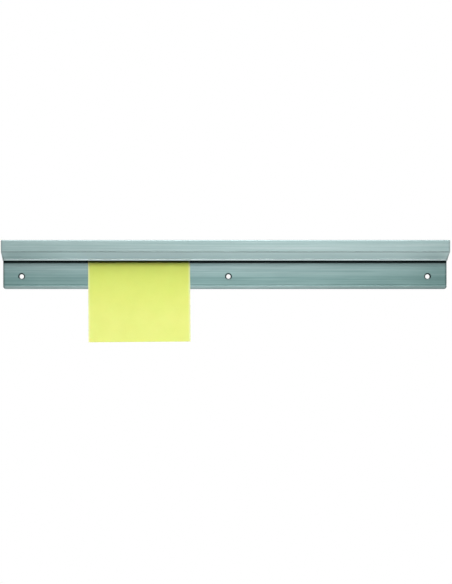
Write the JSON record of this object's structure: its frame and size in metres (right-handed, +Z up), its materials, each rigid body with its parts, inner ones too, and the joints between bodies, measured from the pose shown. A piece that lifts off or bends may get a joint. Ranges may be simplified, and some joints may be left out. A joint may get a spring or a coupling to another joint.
{
  "type": "order ticket rail",
  "caption": "Long wall-mounted aluminium rail whose hood holds loose glass marbles that grip paper order tickets pushed up through the slot along its lip.",
  "frame": {"origin": "centre of the rail's back face, where it lies against the wall", "axes": "+X along the rail to the right as seen from the front, +Y into the wall, +Z up; the front faces -Y"},
  "size_m": [0.4572, 0.019, 0.1048],
  "materials": {
    "mill_aluminium": "mill finish with fine drawn lines along the length",
    "grey_plastic": "moulded",
    "marble_glass": "clear polished",
    "yellow_paper": "uncoated matte"
  },
  "bodies": {
    "rail": {"rail_extrusion": "mill_aluminium", "end_plug_left": "grey_plastic", "end_plug_right": "grey_plastic"},
    "marble_01": {"marble_01": "marble_glass"},
    "marble_02": {"marble_02": "marble_glass"},
    "marble_03": {"marble_03": "marble_glass"},
    "marble_04": {"marble_04": "marble_glass"},
    "marble_05": {"marble_05": "marble_glass"},
    "marble_06": {"marble_06": "marble_glass"},
    "marble_07": {"marble_07": "marble_glass"},
    "marble_08": {"marble_08": "marble_glass"},
    "marble_09": {"marble_09": "marble_glass"},
    "marble_10": {"marble_10": "marble_glass"},
    "marble_11": {"marble_11": "marble_glass"},
    "marble_12": {"marble_12": "marble_glass"},
    "marble_13": {"marble_13": "marble_glass"},
    "marble_14": {"marble_14": "marble_glass"},
    "marble_15": {"marble_15": "marble_glass"},
    "marble_16": {"marble_16": "marble_glass"},
    "marble_17": {"marble_17": "marble_glass"},
    "marble_18": {"marble_18": "marble_glass"},
    "marble_19": {"marble_19": "marble_glass"},
    "marble_20": {"marble_20": "marble_glass"},
    "marble_21": {"marble_21": "marble_glass"},
    "marble_22": {"marble_22": "marble_glass"},
    "marble_23": {"marble_23": "marble_glass"},
    "marble_24": {"marble_24": "marble_glass"},
    "marble_25": {"marble_25": "marble_glass"},
    "marble_26": {"marble_26": "marble_glass"},
    "marble_27": {"marble_27": "marble_glass"},
    "marble_28": {"marble_28": "marble_glass"},
    "marble_29": {"marble_29": "marble_glass"},
    "marble_30": {"marble_30": "marble_glass"},
    "marble_31": {"marble_31": "marble_glass"},
    "marble_32": {"marble_32": "marble_glass"},
    "marble_33": {"marble_33": "marble_glass"},
    "marble_34": {"marble_34": "marble_glass"},
    "order_ticket": {"order_ticket": "yellow_paper"}
  },
  "joints": [
    {"name": "ticket_pull", "type": "slide", "parent": "rail", "child": "order_ticket", "axis": [0, 0, -1], "range_m": [0, 0.05]},
    {"name": "marble_01_lift", "type": "slide", "parent": "rail", "child": "marble_01", "axis": [0, -0.866, 0.5], "range_m": [0, 0.0033]},
    {"name": "marble_02_lift", "type": "slide", "parent": "rail", "child": "marble_02", "axis": [0, -0.866, 0.5], "range_m": [0, 0.0033]},
    {"name": "marble_03_lift", "type": "slide", "parent": "rail", "child": "marble_03", "axis": [0, -0.866, 0.5], "range_m": [0, 0.0033]},
    {"name": "marble_04_lift", "type": "slide", "parent": "rail", "child": "marble_04", "axis": [0, -0.866, 0.5], "range_m": [0, 0.0033]},
    {"name": "marble_05_lift", "type": "slide", "parent": "rail", "child": "marble_05", "axis": [0, -0.866, 0.5], "range_m": [0, 0.0033]},
    {"name": "marble_06_lift", "type": "slide", "parent": "rail", "child": "marble_06", "axis": [0, -0.866, 0.5], "range_m": [0, 0.0033]},
    {"name": "marble_07_lift", "type": "slide", "parent": "rail", "child": "marble_07", "axis": [0, -0.866, 0.5], "range_m": [0, 0.0024]},
    {"name": "marble_08_lift", "type": "slide", "parent": "rail", "child": "marble_08", "axis": [0, -0.866, 0.5], "range_m": [0, 0.0024]},
    {"name": "marble_09_lift", "type": "slide", "parent": "rail", "child": "marble_09", "axis": [0, -0.866, 0.5], "range_m": [0, 0.0024]},
    {"name": "marble_10_lift", "type": "slide", "parent": "rail", "child": "marble_10", "axis": [0, -0.866, 0.5], "range_m": [0, 0.0024]},
    {"name": "marble_11_lift", "type": "slide", "parent": "rail", "child": "marble_11", "axis": [0, -0.866, 0.5], "range_m": [0, 0.0024]},
    {"name": "marble_12_lift", "type": "slide", "parent": "rail", "child": "marble_12", "axis": [0, -0.866, 0.5], "range_m": [0, 0.0024]},
    {"name": "marble_13_lift", "type": "slide", "parent": "rail", "child": "marble_13", "axis": [0, -0.866, 0.5], "range_m": [0, 0.0024]},
    {"name": "marble_14_lift", "type": "slide", "parent": "rail", "child": "marble_14", "axis": [0, -0.866, 0.5], "range_m": [0, 0.0024]},
    {"name": "marble_15_lift", "type": "slide", "parent": "rail", "child": "marble_15", "axis": [0, -0.866, 0.5], "range_m": [0, 0.0024]},
    {"name": "marble_16_lift", "type": "slide", "parent": "rail", "child": "marble_16", "axis": [0, -0.866, 0.5], "range_m": [0, 0.0033]},
    {"name": "marble_17_lift", "type": "slide", "parent": "rail", "child": "marble_17", "axis": [0, -0.866, 0.5], "range_m": [0, 0.0033]},
    {"name": "marble_18_lift", "type": "slide", "parent": "rail", "child": "marble_18", "axis": [0, -0.866, 0.5], "range_m": [0, 0.0033]},
    {"name": "marble_19_lift", "type": "slide", "parent": "rail", "child": "marble_19", "axis": [0, -0.866, 0.5], "range_m": [0, 0.0033]},
    {"name": "marble_20_lift", "type": "slide", "parent": "rail", "child": "marble_20", "axis": [0, -0.866, 0.5], "range_m": [0, 0.0033]},
    {"name": "marble_21_lift", "type": "slide", "parent": "rail", "child": "marble_21", "axis": [0, -0.866, 0.5], "range_m": [0, 0.0033]},
    {"name": "marble_22_lift", "type": "slide", "parent": "rail", "child": "marble_22", "axis": [0, -0.866, 0.5], "range_m": [0, 0.0033]},
    {"name": "marble_23_lift", "type": "slide", "parent": "rail", "child": "marble_23", "axis": [0, -0.866, 0.5], "range_m": [0, 0.0033]},
    {"name": "marble_24_lift", "type": "slide", "parent": "rail", "child": "marble_24", "axis": [0, -0.866, 0.5], "range_m": [0, 0.0033]},
    {"name": "marble_25_lift", "type": "slide", "parent": "rail", "child": "marble_25", "axis": [0, -0.866, 0.5], "range_m": [0, 0.0033]},
    {"name": "marble_26_lift", "type": "slide", "parent": "rail", "child": "marble_26", "axis": [0, -0.866, 0.5], "range_m": [0, 0.0033]},
    {"name": "marble_27_lift", "type": "slide", "parent": "rail", "child": "marble_27", "axis": [0, -0.866, 0.5], "range_m": [0, 0.0033]},
    {"name": "marble_28_lift", "type": "slide", "parent": "rail", "child": "marble_28", "axis": [0, -0.866, 0.5], "range_m": [0, 0.0033]},
    {"name": "marble_29_lift", "type": "slide", "parent": "rail", "child": "marble_29", "axis": [0, -0.866, 0.5], "range_m": [0, 0.0033]},
    {"name": "marble_30_lift", "type": "slide", "parent": "rail", "child": "marble_30", "axis": [0, -0.866, 0.5], "range_m": [0, 0.0033]},
    {"name": "marble_31_lift", "type": "slide", "parent": "rail", "child": "marble_31", "axis": [0, -0.866, 0.5], "range_m": [0, 0.0033]},
    {"name": "marble_32_lift", "type": "slide", "parent": "rail", "child": "marble_32", "axis": [0, -0.866, 0.5], "range_m": [0, 0.0033]},
    {"name": "marble_33_lift", "type": "slide", "parent": "rail", "child": "marble_33", "axis": [0, -0.866, 0.5], "range_m": [0, 0.0033]},
    {"name": "marble_34_lift", "type": "slide", "parent": "rail", "child": "marble_34", "axis": [0, -0.866, 0.5], "range_m": [0, 0.0033]}
  ]
}
